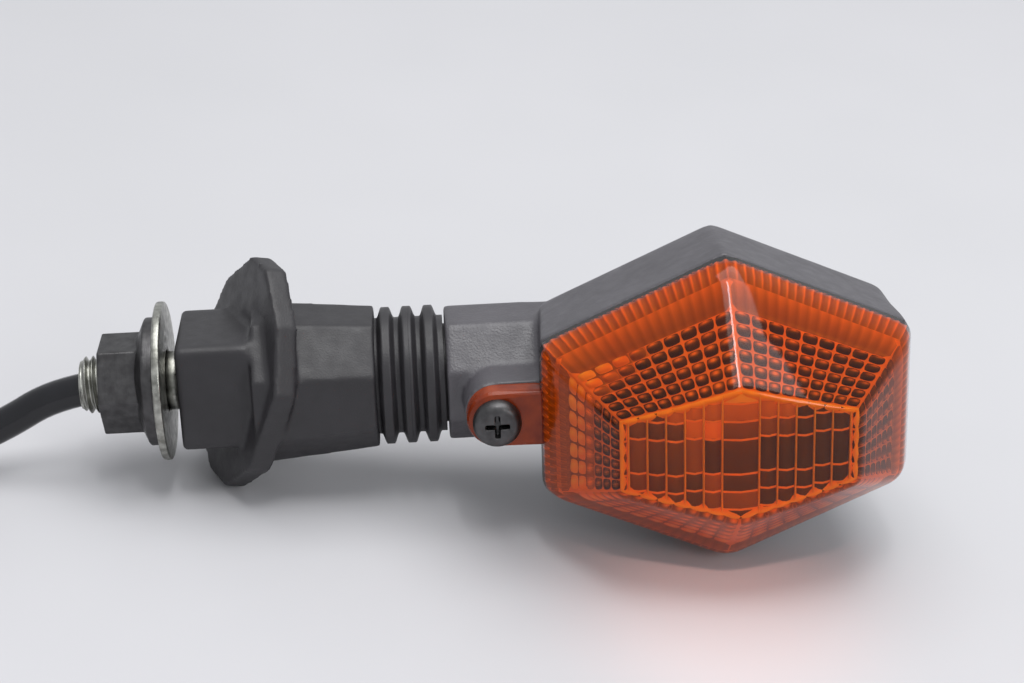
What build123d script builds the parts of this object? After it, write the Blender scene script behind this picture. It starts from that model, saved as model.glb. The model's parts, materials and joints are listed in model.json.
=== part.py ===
from build123d import *
import os
from math import hypot, pi, radians, tan

# Motorcycle turn signal with a flexible rubber stem, in millimetres.
# +X runs from the mounting face out to the lamp, the lens faces -Y, +Z is up.
# The origin is the centre of the boss's mounting face, on the axis of the stud.

# Driving dimensions: mounting stud and its nut
stud_radius = 5.0  # M10, on the plain shank that fills the bracket's hole
thread_radius = 4.93  # crests of the M10 x 1.25 thread, just under the shank
undercut_radius = 4.5  # where the thread ends
undercut_start = -3.5
stud_core_radius = 4.6  # inside the rubber
stud_bore_radius = 3.05
thread_chamfer = 0.7
shank_start = -2.3
stud_end = -17.0
stud_root = 12.0
plate_radius = 8.0
plate_thickness = 2.0
nut_across_flats = 15.0
nut_start = -13.4
nut_cone_start = -7.2
nut_disc_start = -5.7
nut_end = -3.8
nut_flange_radius = 10.9
nut_bore_radius = 5.06
washer_start = -3.7
washer_thickness = 1.4
washer_radius = 13.5
washer_bore_radius = 5.3
washer_chamfer = 0.2

# Driving dimensions: rubber boot, from the boss to the bellows
boss_side = 18.8
boss_length = 12.0
boss_corner_radius = 1.6
boss_chamfer = 0.4
boss_recess_radius = 5.5  # shallow recess round the stud in the mounting face
boss_recess_depth = 0.6
flange_normal = (1.0, 0.42, -0.31)  # the flange leans with the bodywork it meets
flange_offset = 9.0
flange_thickness = 4.0
flange_corner_radius = 1.2
flange_outline = [(3.5, 20.6), (12.5, 13.5), (17.3, 3.0), (13.2, -11.5), (4.0, -18.6)]
stem_z = -1.2  # height of the stem and lamp centre line
stem_start = 12.5
stem_end = 33.0
stem_root_radius = 13.9
stem_tip_radius = 12.1
octagon_turn = 22.5  # puts a flat side of an eight-sided section on top
bellows_end = 44.6
bellows_pitch = 3.65
bellows_first = 34.9
bellows_ridge_radius = 11.7
bellows_groove_radius = 9.9
bellows_bore_radius = 7.0
bellows_ridge_width = 2.1
bellows_ridges = 3
spigot_radius = 8.4
spigot_end = 53.0
retainer_thickness = 1.5
wire_hole_radius = 3.4  # through the spigot and its retainer

# Driving dimensions: lamp housing, lens and what is between them
lamp_x = 90.0
rim_front = 20.0  # distances called front are measured from the stem axis towards -Y
rim = (30.3, 13.4, 27.0)  # half width, half height of the side edges, half height of the peaks
collar_start = 44.9
collar_radius = 11.5
collar_bore_radius = 8.5
collar_bore_length = 24.0  # opens into the bowl, to let the wires through
collar_reach = 78.0  # where the collar ends, inside the bowl
rim_step = 0.35  # how far the housing's rim lies inside the lens's rim
housing_wall = 2.0
housing_front = 18.8
gasket_edge_inset = 0.6
gasket_opening_inset = 2.6
housing_straight = 2.0
housing_back = -13.0
housing_draft = 0.95
housing_back_inset = 8.5
lens_wall = 2.0
lens_band_front = 24.2
lens_band_inset = 1.3
lens_face_front = 39.0
lens_face = (19.1, 6.4, 11.6)
tab_centre_x = 52.6
tab_radius = 4.9
tab_root_x = 60.0
tab_back = 17.0
tab_front = 20.6
tab_hole_radius = 2.2
tab_web_length = 2.0  # web that ties the tab to the rim
tab_web_height = 2.2
pad_radius = 5.2
pad_root_x = 62.0
screw_radius = 1.95
screw_hole_radius = 2.0
screw_head_radius = 4.0
screw_head_height = 2.5
screw_depth = 7.2
screw_head_fillet = 1.6
screw_hole_spare = 0.5  # depth of the hole beyond the screw's end
cross_length = 4.0
cross_width = 0.8
cross_depth = 1.7

# Driving dimensions: reflector, a bowl in a flat plate behind the lens
plate_inset = 2.0  # inside the housing's rim
plate_gap = 0.35
reflector_plate_front = 15.8
reflector_plate_thickness = 1.3
reflector_opening_radius = 20.0
bowl_rim_radius = 20.4
bowl_rim_front = 17.1
bowl_mid = (15.0, 10.4)  # radius and front of a point half way up the bowl
bowl_root_front = 6.9
bowl_back_rim_radius = 21.0
bowl_back_mid = (16.0, 9.0)
bowl_back_root_front = 5.6
neck_front = 3.0
neck_wall = 1.2

# Driving dimensions: bulb and its holder, a single contact bayonet cap of 15 mm
glass_radius = 9.0
glass_centre_front = 19.0
cap_radius = 7.5
cap_wall = 0.7
cap_front = 9.0
cap_back = -4.4
bayonet_pin_radius = 1.0
bayonet_pin_reach = 8.5
bayonet_pin_front = 0.5
bayonet_turn = 25.0
shell_radius = 7.6
shell_wall = 0.6
shell_front = 6.5
shell_back = -9.0
slot_clearance = 0.4
slot_reach = 30.0  # longer than the holder is wide
slot_margin = 9.0  # degrees of slot beyond the middle of a pin
insulator_thickness = 1.0
live_terminal_size = (14.0, 4.0)
live_terminal_across = -6.0
terminal_thickness = 0.7
ground_terminal_size = (5.0, 0.8)
ground_terminal_back = -7.0
ground_terminal_width = 4.0
button_front = -5.05
button_radius = 2.2
button_height = 1.0
carrier_clearance = 0.3
carrier_thickness = 0.8
spring_radius = 4.0
spring_wire = 0.8
spring_length = 2.1

# Driving dimensions: the bulb's own pieces
glass_wall = 0.8
glass_neck_radius = 6.6
glass_back = 6.0
base_insulator_thickness = 1.8
tip_radius = 2.0
tip_height = 0.6
glass_stem_radii = (3.0, 1.5)
glass_stem_front = 14.0
filament_front = 19.3
filament_radius = 0.45
filament_half_length = 2.8
support_radius = 0.3
support_spread = 1.0
support_length = 5.5

# Driving dimensions: lead, which is wound up beyond the stud
sheath_radius = 2.8
coil_mid_radius = 26.0
coil_centre_x = -66.5
tie_thickness = 0.9
wire_radius = 0.9
wire_gap = 1.3  # of each wire from the stem's axis
wire_bend = 4.0
wire_end_margin = 0.6  # of the wires in the bellows from what is at their ends
sheath_start = -6.0  # where the drawn stretch inside the stud begins
bullet_gap = 5.3
boot_wall = 0.4
boot_taper = 9.0
boot_straight = 4.0
boot_height = 4.4
boot_corner_radius = 2.0
sleeve_length = 17.0
sleeve_radius = 2.5
bullet_neck_radius = 1.6
bullet_radius = 1.95
bullet_length = 7.0
bullet_fillet = 1.2
tail_length = 19.5
tail_angle = 150.0  # where the end leaves the coil
end_fall = 2.0  # degrees that the lead's end slopes down to the surface
tie_angle = 128.0
tie_width = 3.2
tie_side_gap = 1.2

tab_across = tab_centre_x - lamp_x  # place of the tab, pad and screw across the lamp

parts = []


def front_plane(front):
    """A plane facing the lens side, a distance in front of the stem axis, on the lamp's centre."""
    return Plane(origin=(lamp_x, -front, stem_z), x_dir=(1, 0, 0), z_dir=(0, -1, 0))


# The plane through the lamp's own axis, with +Y towards the back, and that axis
lamp_section = Plane(origin=(lamp_x, 0, stem_z), x_dir=(1, 0, 0), z_dir=(0, 0, 1))
lamp_axis = Axis((lamp_x, 0, stem_z), (0, 1, 0))


def lamp_side_plane(front):
    """A plane facing +X at the lamp's centre, a distance in front of the stem axis."""
    return Plane(origin=(lamp_x, -front, stem_z), x_dir=(0, 1, 0), z_dir=(1, 0, 0))


def stem_plane(x):
    """A plane across the stem, centred on its axis."""
    return Plane(origin=(x, 0, stem_z), x_dir=(0, 1, 0), z_dir=(1, 0, 0))


def mount_plane(x):
    """A plane across the stud, centred on its axis."""
    return Plane(origin=(x, 0, 0), x_dir=(0, 1, 0), z_dir=(1, 0, 0))


def six_corners(half_width, side, peak):
    """Corners of the upright six-sided outline of the lamp."""
    right = [(0, -peak), (half_width, -side), (half_width, side), (0, peak)]
    return right + [(-half_width, side), (-half_width, -side)]


def inset(outline, amount):
    """The six-sided outline moved inwards by the same distance on every side."""
    half_width, side, peak = outline
    slope = hypot(half_width, peak - side) / half_width
    rise = (peak - side) / half_width
    new_peak = peak - amount * slope
    new_side = new_peak - rise * (half_width - amount)
    return (half_width - amount, new_side, new_peak)


def keep(piece, name):
    """Name a finished piece and list it for export."""
    piece.part.label = name
    parts.append((name, piece.part))


# Mounting stud: a hollow threaded tube that lets the lead out of its end
with BuildPart() as threaded_stud:
    with BuildSketch(mount_plane(stud_end)):
        Circle(thread_radius)
    extrude(amount=undercut_start - stud_end)
    chamfer(threaded_stud.edges().group_by(Axis.X)[0], thread_chamfer)
    with BuildSketch(mount_plane(undercut_start)):
        Circle(undercut_radius)
    extrude(amount=shank_start - undercut_start)
    with BuildSketch(mount_plane(shank_start)):
        Circle(stud_radius)
    extrude(amount=-shank_start)
    with BuildSketch(mount_plane(0)):
        Circle(stud_core_radius)
    extrude(amount=stud_root)
    with BuildSketch(mount_plane(stud_end)):
        Circle(stud_bore_radius)
    extrude(amount=stud_root - stud_end, mode=Mode.SUBTRACT)
keep(threaded_stud, "threaded_stud")

# Anchor plate, welded to the root of the stud and moulded into the rubber
with BuildPart() as anchor_plate:
    with BuildSketch(mount_plane(stud_root)):
        Circle(plate_radius)
        Circle(stud_bore_radius, mode=Mode.SUBTRACT)
    extrude(amount=plate_thickness)
keep(anchor_plate, "anchor_plate")

# Flange nut: hexagon, cone and washer face in one
with BuildPart() as flange_nut:
    with BuildSketch(mount_plane(nut_start)):
        RegularPolygon(nut_across_flats / 2, 6, major_radius=False)
    extrude(amount=nut_disc_start - nut_start)
    with BuildSketch(mount_plane(nut_cone_start)):
        Circle(nut_across_flats / 2)
    with BuildSketch(mount_plane(nut_disc_start)):
        Circle(nut_flange_radius)
    loft()
    with BuildSketch(mount_plane(nut_disc_start)):
        Circle(nut_flange_radius)
    extrude(amount=nut_end - nut_disc_start)
    with BuildSketch(mount_plane(nut_start)):
        Circle(nut_bore_radius)
    extrude(amount=nut_end - nut_start, mode=Mode.SUBTRACT)
keep(flange_nut, "flange_nut")

# Plain washer under the nut
with BuildPart() as flat_washer:
    with BuildSketch(mount_plane(washer_start)):
        Circle(washer_radius)
        Circle(washer_bore_radius, mode=Mode.SUBTRACT)
    extrude(amount=washer_thickness)
    chamfer(flat_washer.edges().filter_by(GeomType.CIRCLE).group_by(SortBy.RADIUS)[-1], washer_chamfer)
keep(flat_washer, "flat_washer")

# Rubber boot: square boss, leaning flange and eight-sided stem
flange_plane = Plane(
    origin=(flange_offset, 0, 0),
    x_dir=(-flange_normal[1], flange_normal[0], 0),
    z_dir=flange_normal,
)
with BuildPart() as rubber_boot:
    with BuildSketch(mount_plane(0)):
        RectangleRounded(boss_side, boss_side, boss_corner_radius)
    extrude(amount=boss_length)
    chamfer(rubber_boot.faces().sort_by(Axis.X)[0].edges(), boss_chamfer)
    with BuildSketch(flange_plane):
        with BuildLine():
            mirrored = [(-across, up) for across, up in reversed(flange_outline)]
            Polyline(flange_outline + mirrored, close=True)
        make_face()
        fillet(vertices(), flange_corner_radius)
    extrude(amount=flange_thickness)
    with BuildSketch(stem_plane(stem_start)):
        RegularPolygon(stem_root_radius, 8, rotation=octagon_turn)
    with BuildSketch(stem_plane(stem_end)):
        RegularPolygon(stem_tip_radius, 8, rotation=octagon_turn)
    loft()
    with BuildSketch(mount_plane(0)):
        Circle(boss_recess_radius)
    extrude(amount=boss_recess_depth, mode=Mode.SUBTRACT)
    with BuildSketch(mount_plane(0)):
        Circle(stud_core_radius)
    extrude(amount=stud_root, mode=Mode.SUBTRACT)
    with BuildSketch(mount_plane(stud_root)):
        Circle(plate_radius)
    extrude(amount=plate_thickness, mode=Mode.SUBTRACT)
    with BuildSketch(mount_plane(stud_root)):
        Circle(stud_bore_radius)
    extrude(amount=stem_end - stud_root, mode=Mode.SUBTRACT)
keep(rubber_boot, "rubber_boot")

# Bellows: the ribbed stretch of the boot that lets the lamp give way
with BuildPart() as bellows:
    with BuildSketch(stem_plane(stem_end)):
        Circle(bellows_groove_radius)
    extrude(amount=bellows_end - stem_end)
    for ridge in range(bellows_ridges):
        ridge_start = bellows_first + ridge * bellows_pitch - bellows_ridge_width / 2
        with BuildSketch(stem_plane(ridge_start)):
            RegularPolygon(bellows_ridge_radius, 16)
        extrude(amount=bellows_ridge_width)
    with BuildSketch(stem_plane(stem_end)):
        Circle(bellows_bore_radius)
    extrude(amount=bellows_end - stem_end, mode=Mode.SUBTRACT)
keep(bellows, "bellows")

# Spigot: the plug at the lamp end of the rubber, gripped inside the collar
with BuildPart() as boot_spigot:
    with BuildSketch(stem_plane(bellows_end)):
        Circle(spigot_radius)
        Circle(wire_hole_radius, mode=Mode.SUBTRACT)
    extrude(amount=spigot_end - bellows_end)
keep(boot_spigot, "boot_spigot")

# Retainer: a steel plate behind the spigot that stops it pulling out
with BuildPart() as spigot_retainer:
    with BuildSketch(stem_plane(spigot_end)):
        Circle(collar_bore_radius)
        Circle(wire_hole_radius, mode=Mode.SUBTRACT)
    extrude(amount=retainer_thickness)
keep(spigot_retainer, "spigot_retainer")

# Housing: a six-sided bowl with an eight-sided collar and a pad for the lens screw
rim_outer = inset(rim, rim_step)
bowl_sections = [(housing_front, 0), (housing_straight, housing_draft), (housing_back, housing_back_inset)]
with BuildPart() as housing:
    for pair in zip(bowl_sections, bowl_sections[1:]):
        for front, amount in pair:
            with BuildSketch(front_plane(front)):
                with BuildLine():
                    Polyline(six_corners(*inset(rim_outer, amount)), close=True)
                make_face()
        loft(ruled=True)
    with BuildSketch(stem_plane(collar_start)):
        RegularPolygon(collar_radius, 8, rotation=octagon_turn)
    extrude(amount=collar_reach - collar_start)
    with BuildSketch(front_plane(0)):
        with Locations((tab_across, 0)):
            Circle(pad_radius)
        with Locations(((tab_centre_x + pad_root_x) / 2 - lamp_x, 0)):
            Rectangle(pad_root_x - tab_centre_x, 2 * pad_radius)
    extrude(amount=tab_back)
    for pair in zip(bowl_sections, bowl_sections[1:]):
        for front, amount in pair:
            floor = housing_wall if front == housing_back else 0
            with BuildSketch(front_plane(front + floor)):
                with BuildLine():
                    Polyline(six_corners(*inset(rim_outer, amount + housing_wall)), close=True)
                make_face()
        loft(ruled=True, mode=Mode.SUBTRACT)
    with BuildSketch(stem_plane(collar_start)):
        Circle(collar_bore_radius)
    extrude(amount=collar_bore_length, mode=Mode.SUBTRACT)
    with BuildSketch(front_plane(tab_back)):
        with Locations((tab_across, 0)):
            Circle(screw_hole_radius)
    extrude(amount=-screw_depth - screw_hole_spare, mode=Mode.SUBTRACT)
keep(housing, "housing")

# Gasket between the housing's rim and the lens
with BuildPart() as lens_gasket:
    with BuildSketch(front_plane(housing_front)):
        with BuildLine():
            Polyline(six_corners(*inset(rim, gasket_edge_inset)), close=True)
        make_face()
        with BuildLine():
            Polyline(six_corners(*inset(rim, gasket_opening_inset)), close=True)
        make_face(mode=Mode.SUBTRACT)
    extrude(amount=rim_front - housing_front)
keep(lens_gasket, "lens_gasket")

# Lens: a faceted cap with a tab for its screw
lens_band = inset(rim, lens_band_inset)
lens_sections = [(rim_front, rim), (lens_band_front, lens_band), (lens_face_front, lens_face)]
with BuildPart() as lens:
    for pair in zip(lens_sections, lens_sections[1:]):
        for front, outline in pair:
            with BuildSketch(front_plane(front)):
                with BuildLine():
                    Polyline(six_corners(*outline), close=True)
                make_face()
        loft(ruled=True)
    with BuildSketch(front_plane(tab_back)):
        with Locations((tab_across, 0)):
            Circle(tab_radius)
        with Locations(((tab_centre_x + tab_root_x) / 2 - lamp_x, 0)):
            Rectangle(tab_root_x - tab_centre_x, 2 * tab_radius)
    extrude(amount=tab_front - tab_back)
    with BuildSketch(front_plane(rim_front)):
        with Locations((tab_root_x + tab_web_length / 4 - lamp_x, 0)):
            Rectangle(tab_web_length, 2 * tab_radius)
    extrude(amount=tab_web_height)
    with BuildSketch(front_plane(tab_back)):
        with Locations((tab_across, 0)):
            Circle(tab_hole_radius)
    extrude(amount=tab_front - tab_back, mode=Mode.SUBTRACT)
    for pair in zip(lens_sections, lens_sections[1:]):
        for front, outline in pair:
            wall = lens_wall if front == lens_face_front else 0
            with BuildSketch(front_plane(front - wall)):
                with BuildLine():
                    Polyline(six_corners(*inset(outline, lens_wall)), close=True)
                make_face()
        loft(ruled=True, mode=Mode.SUBTRACT)
keep(lens, "lens")

# Lens screw: pan head with a cross recess, self-tapping into the collar pad
with BuildPart() as lens_screw:
    with BuildSketch(front_plane(tab_back - screw_depth)):
        with Locations((tab_across, 0)):
            Circle(screw_radius)
    extrude(amount=tab_front - tab_back + screw_depth)
    with BuildSketch(front_plane(tab_front)):
        with Locations((tab_across, 0)):
            Circle(screw_head_radius)
    extrude(amount=screw_head_height)
    fillet(lens_screw.edges().filter_by(GeomType.CIRCLE).sort_by(Axis.Y)[0], screw_head_fillet)
    with BuildSketch(front_plane(tab_front + screw_head_height)):
        with Locations((tab_across, 0)):
            Rectangle(cross_length, cross_width)
            Rectangle(cross_width, cross_length)
    extrude(amount=-cross_depth, mode=Mode.SUBTRACT)
keep(lens_screw, "lens_screw")

# Reflector: a round bowl in a six-sided plate, with a neck that holds the bulb holder
neck_radius = shell_radius + shell_wall
with BuildPart() as reflector:
    with BuildSketch(front_plane(reflector_plate_front)):
        with BuildLine():
            Polyline(six_corners(*inset(rim_outer, plate_inset + plate_gap)), close=True)
        make_face()
        Circle(reflector_opening_radius, mode=Mode.SUBTRACT)
    extrude(amount=reflector_plate_thickness)
    with BuildSketch(lamp_section):
        with BuildLine():
            neck_corner = (neck_radius, -bowl_root_front)
            bowl = ThreePointArc(
                neck_corner,
                (bowl_mid[0], -bowl_mid[1]),
                (bowl_rim_radius, -bowl_rim_front),
            )
            Line(bowl @ 1, (bowl_back_rim_radius, -reflector_plate_front))
            back = ThreePointArc(
                (bowl_back_rim_radius, -reflector_plate_front),
                (bowl_back_mid[0], -bowl_back_mid[1]),
                (neck_radius + neck_wall, -bowl_back_root_front),
            )
            neck_end = (neck_radius + neck_wall, -neck_front)
            Polyline(back @ 1, neck_end, (neck_radius, -neck_front), neck_corner)
        make_face()
    revolve(axis=lamp_axis)
keep(reflector, "reflector")

# Bulb holder shell with two bayonet slots
slot_width = 2 * bayonet_pin_radius + slot_clearance
slot_back = bayonet_pin_front - slot_width
with BuildPart() as socket_shell:
    with BuildSketch(front_plane(shell_back)):
        Circle(neck_radius)
        Circle(shell_radius, mode=Mode.SUBTRACT)
    extrude(amount=shell_front - shell_back)
    with BuildSketch(front_plane(slot_back)):
        Rectangle(slot_reach, slot_width, rotation=bayonet_turn)
    extrude(amount=shell_front - slot_back, mode=Mode.SUBTRACT)
    for side in (0, 180):
        slot_plane = lamp_section.rotated((0, side - bayonet_turn - slot_margin, 0))
        with BuildSketch(slot_plane):
            with Locations((neck_radius, 0)):
                Rectangle(4 * shell_wall, slot_width + 2 * bayonet_pin_front)
        revolve(axis=lamp_axis, revolution_arc=bayonet_turn + 2 * slot_margin, mode=Mode.SUBTRACT)
keep(socket_shell, "socket_shell")

# Insulating disc that closes the holder, with the live terminal behind it
with BuildPart() as socket_insulator:
    with BuildSketch(front_plane(shell_back)):
        Circle(neck_radius)
    extrude(amount=-insulator_thickness)
keep(socket_insulator, "socket_insulator")

with BuildPart() as live_terminal:
    with BuildSketch(front_plane(shell_back - insulator_thickness)):
        with Locations((live_terminal_across, 0)):
            Rectangle(*live_terminal_size)
    extrude(amount=-terminal_thickness)
keep(live_terminal, "live_terminal")

# Ground terminal, standing out from the side of the holder
with BuildPart() as ground_terminal:
    with BuildSketch(front_plane(ground_terminal_back)):
        with Locations((-neck_radius - ground_terminal_size[0] / 2, 0)):
            Rectangle(*ground_terminal_size)
        Circle(neck_radius, mode=Mode.SUBTRACT)
    extrude(amount=ground_terminal_width)
keep(ground_terminal, "ground_terminal")

# Sprung contact: button, carrier disc and coil spring
carrier_front = button_front - button_height
spring_front = carrier_front - carrier_thickness
with BuildPart() as contact_button:
    with BuildSketch(front_plane(button_front)):
        Circle(button_radius)
    extrude(amount=-button_height)
keep(contact_button, "contact_button")

with BuildPart() as contact_carrier:
    with BuildSketch(front_plane(carrier_front)):
        Circle(shell_radius - carrier_clearance)
    extrude(amount=-carrier_thickness)
keep(contact_carrier, "contact_carrier")

with BuildPart() as contact_spring:
    with BuildSketch(front_plane(spring_front)):
        Circle(spring_radius)
        Circle(spring_radius - spring_wire, mode=Mode.SUBTRACT)
    extrude(amount=-spring_length)
keep(contact_spring, "contact_spring")

# Bulb: glass envelope, cap with two pins, base insulator, tip, stem and filament
inner_radius = glass_radius - glass_wall
neck_inner = glass_neck_radius - glass_wall
outer_meet = (glass_radius**2 - glass_neck_radius**2) ** 0.5 - glass_centre_front
inner_meet = (inner_radius**2 - neck_inner**2) ** 0.5 - glass_centre_front
with BuildPart() as bulb_glass:
    with BuildSketch(lamp_section):
        with BuildLine():
            crown_outer = (0, -glass_centre_front - glass_radius)
            crown_inner = (0, -glass_centre_front - inner_radius)
            Line(crown_outer, crown_inner)
            inside = ThreePointArc(
                crown_inner,
                (inner_radius, -glass_centre_front),
                (neck_inner, inner_meet),
            )
            Polyline(
                inside @ 1,
                (neck_inner, -glass_back),
                (glass_neck_radius, -glass_back),
                (glass_neck_radius, outer_meet),
            )
            ThreePointArc(
                (glass_neck_radius, outer_meet),
                (glass_radius, -glass_centre_front),
                crown_outer,
            )
        make_face()
    revolve(axis=lamp_axis)
keep(bulb_glass, "bulb_glass")

with BuildPart() as bulb_cap:
    with BuildSketch(front_plane(cap_back)):
        Circle(cap_radius)
    extrude(amount=cap_front - cap_back)
    with BuildSketch(lamp_side_plane(bayonet_pin_front)):
        Circle(bayonet_pin_radius)
    extrude(amount=bayonet_pin_reach, both=True)
    with BuildSketch(front_plane(cap_back)):
        Circle(cap_radius - cap_wall)
    extrude(amount=cap_front - cap_back, mode=Mode.SUBTRACT)
keep(bulb_cap, "bulb_cap")

with BuildPart() as base_insulator:
    with BuildSketch(front_plane(cap_back)):
        Circle(cap_radius - cap_wall)
    extrude(amount=base_insulator_thickness)
keep(base_insulator, "base_insulator")

with BuildPart() as bulb_tip:
    with BuildSketch(front_plane(cap_back)):
        Circle(tip_radius)
    extrude(amount=-tip_height)
keep(bulb_tip, "bulb_tip")

with BuildPart() as glass_stem:
    with BuildSketch(front_plane(glass_back)):
        Circle(glass_stem_radii[0])
    with BuildSketch(front_plane(glass_stem_front)):
        Circle(glass_stem_radii[1])
    loft()
keep(glass_stem, "glass_stem")

with BuildPart() as filament:
    with BuildSketch(front_plane(glass_stem_front)):
        with Locations((-support_spread, 0), (support_spread, 0)):
            Circle(support_radius)
    extrude(amount=support_length)
    with BuildSketch(lamp_side_plane(filament_front)):
        Circle(filament_radius)
    extrude(amount=filament_half_length, both=True)
keep(filament, "filament")

# Insulated wires between the lead and the bulb holder
wires_start = stem_end + wire_end_margin
wires_end = bellows_end - 2 * wire_end_margin
with BuildPart() as flex_wires:
    with BuildSketch(stem_plane(wires_start)):
        with Locations((0, wire_gap), (0, -wire_gap)):
            Circle(wire_radius)
    extrude(amount=wires_end - wires_start)
keep(flex_wires, "flex_wires")

live_route = [
    (bellows_end + wire_end_margin, 0, stem_z + wire_gap),
    (64, 0, stem_z + wire_gap),
    (72.5, 8.0, stem_z + 1),
    (76.9, 9.9, stem_z),
]
ground_route = [
    (bellows_end + wire_end_margin, 0, stem_z - wire_gap),
    (63, 0, stem_z - wire_gap),
    (71, 4.5, stem_z - 1),
    (76.6, 5.0, stem_z),
]
for name, route in (("live_wire", live_route), ("ground_wire", ground_route)):
    with BuildPart() as wire:
        with BuildLine():
            path = FilletPolyline(*route, radius=wire_bend)
        with BuildSketch(Plane(origin=path @ 0, z_dir=path % 0)):
            Circle(wire_radius)
        sweep()
    keep(wire, name)

# Lead: sheath inside the stud and the stem
with BuildPart() as inner_sheath:
    with BuildSketch(mount_plane(sheath_start)):
        Circle(sheath_radius)
    extrude(amount=wires_start - 2 * wire_radius - sheath_start)
keep(inner_sheath, "inner_sheath")

# The surface that the lamp lies on when it is off the motorcycle. It touches the bottom of the lens,
# the bottom ridge of the housing and the flange, so in this frame it rises gently towards the stud.
lens_foot = (lamp_x, -rim_front, stem_z - rim[2])
ridge_foot = stem_z - inset(rim_outer, housing_draft)[2]
flange_foot = flange_plane.from_local_coords((0, flange_outline[-1][1], flange_thickness))
surface_slope_y = (ridge_foot - lens_foot[2]) / (rim_front - housing_straight)
flange_rise = flange_foot.Z - lens_foot[2] - surface_slope_y * (flange_foot.Y - lens_foot[1])
surface_slope_x = flange_rise / (flange_foot.X - lens_foot[0])


def surface_height(x, y):
    """Height of the resting surface under a point."""
    rise = surface_slope_x * (x - lens_foot[0]) + surface_slope_y * (y - lens_foot[1])
    return lens_foot[2] + rise


print("surface slopes", round(surface_slope_x, 4), round(surface_slope_y, 4))

# Lead: the free stretch, from inside the stud down to the surface and along it to the coil
lay = tie_thickness + sheath_radius + 0.1
lead_route = [
    (sheath_start, 0.0, 0.0),
    (-19.5, 0.0, 0.0),
    (-33.0, -1.5, -7.4),
    (-47.0, -5.0, surface_height(-47.0, -5.0) + lay),
    (-60.5, -7.0, surface_height(-60.5, -7.0) + lay),
]
lead_radii = []
for before, corner, after in zip(lead_route, lead_route[1:], lead_route[2:]):
    first = Vector(*corner) - Vector(*before)
    second = Vector(*after) - Vector(*corner)
    half_turn = radians(first.get_angle(second)) / 2
    lead_radii.append(0.45 * min(first.length, second.length) / tan(half_turn))
print("lead radii", [round(radius, 1) for radius in lead_radii])
with BuildPart() as lead_sheath:
    with BuildLine():
        lead_path = FilletPolyline(*lead_route, radius=lead_radii)
    with BuildSketch(Plane(origin=lead_path @ 0, z_dir=lead_path % 0)):
        Circle(sheath_radius)
    sweep()
lead_length = sum(edge.length for edge in lead_path.edges())
expected = pi * sheath_radius**2 * lead_length
print("lead tube volume", round(lead_sheath.part.volume, 1), "expected", round(expected, 1))
print("lead tube length", round(lead_length, 1))
keep(lead_sheath, "lead_sheath")

# Lead: the rest of it, a little over one turn of a spiral lying on the same surface
strand = 2 * sheath_radius + 0.1
coil_centre = (coil_centre_x, lead_route[-1][1] - coil_mid_radius + strand / 2)
coil_plane = Plane(
    origin=(*coil_centre, surface_height(*coil_centre)),
    x_dir=(1, 0, surface_slope_x),
    z_dir=(-surface_slope_x, -surface_slope_y, 1),
)
with BuildPart() as lead_coil:
    with BuildSketch(coil_plane.offset(tie_thickness)):
        Circle(coil_mid_radius + strand)
        Circle(coil_mid_radius - strand, mode=Mode.SUBTRACT)
    extrude(amount=strand)
keep(lead_coil, "lead_coil")

# Tie: a strap round the two turns
tie_place = Location((0, 0, 0), (0, 0, tie_angle)) * Location((coil_mid_radius, 0, 0), (90, 0, 0))
with BuildPart() as coil_tie:
    with BuildSketch(Plane(coil_plane.location * tie_place)):
        with Locations((0, tie_thickness + strand / 2)):
            Rectangle(2 * (strand + tie_side_gap), strand + 2 * tie_thickness)
    extrude(amount=tie_width / 2, both=True)
    add(lead_coil.part, mode=Mode.SUBTRACT)
keep(coil_tie, "coil_tie")

# Lead: the straight end that leaves the coil
end_turn = Location((0, 0, 0), (0, 0, tail_angle - 180))
end_place = Location((-coil_mid_radius - strand / 2, 0, lay), (90 + end_fall, 0, 0))
end_plane = Plane(coil_plane.location * end_turn * end_place)
with BuildPart() as lead_tail:
    with BuildSketch(end_plane):
        Circle(sheath_radius)
    extrude(amount=tail_length)
keep(lead_tail, "lead_tail")

# Lead end: a boot where the sheath stops, and two bullet connectors in insulating sleeves
boot_start = tail_length
boot_shoulder = boot_start + boot_taper
boot_end = boot_shoulder + boot_straight
sleeve_end = boot_end + sleeve_length
with BuildPart() as lead_end_boot:
    with BuildSketch(end_plane.offset(boot_start)):
        Circle(sheath_radius + boot_wall)
    with BuildSketch(end_plane.offset(boot_shoulder)):
        RectangleRounded(bullet_gap + boot_height, boot_height, boot_corner_radius)
    loft()
    with BuildSketch(end_plane.offset(boot_shoulder)):
        RectangleRounded(bullet_gap + boot_height, boot_height, boot_corner_radius)
    extrude(amount=boot_straight)
keep(lead_end_boot, "lead_end_boot")

along_end = Axis(end_plane.origin, end_plane.z_dir)
for name, side in (("live", -1), ("ground", 1)):
    with BuildPart() as bullet:
        with BuildSketch(end_plane.offset(boot_end)):
            with Locations((side * bullet_gap / 2, 0)):
                Circle(bullet_neck_radius)
        extrude(amount=sleeve_length)
        with BuildSketch(end_plane.offset(sleeve_end)):
            with Locations((side * bullet_gap / 2, 0)):
                Circle(bullet_radius)
        extrude(amount=bullet_length)
        fillet(bullet.faces().sort_by(along_end)[-1].edges(), bullet_fillet)
    keep(bullet, f"bullet_{name}")
    with BuildPart() as sleeve:
        with BuildSketch(end_plane.offset(boot_end)):
            with Locations((side * bullet_gap / 2, 0)):
                Circle(sleeve_radius)
                Circle(bullet_neck_radius, mode=Mode.SUBTRACT)
        extrude(amount=sleeve_length)
    keep(sleeve, f"sleeve_{name}")

os.makedirs("parts", exist_ok=True)
for name, piece in parts:
    export_step(piece, f"parts/{name}.step")
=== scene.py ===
import json
import math
import random

import bmesh
import bpy
from mathutils import Matrix, Vector


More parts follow.
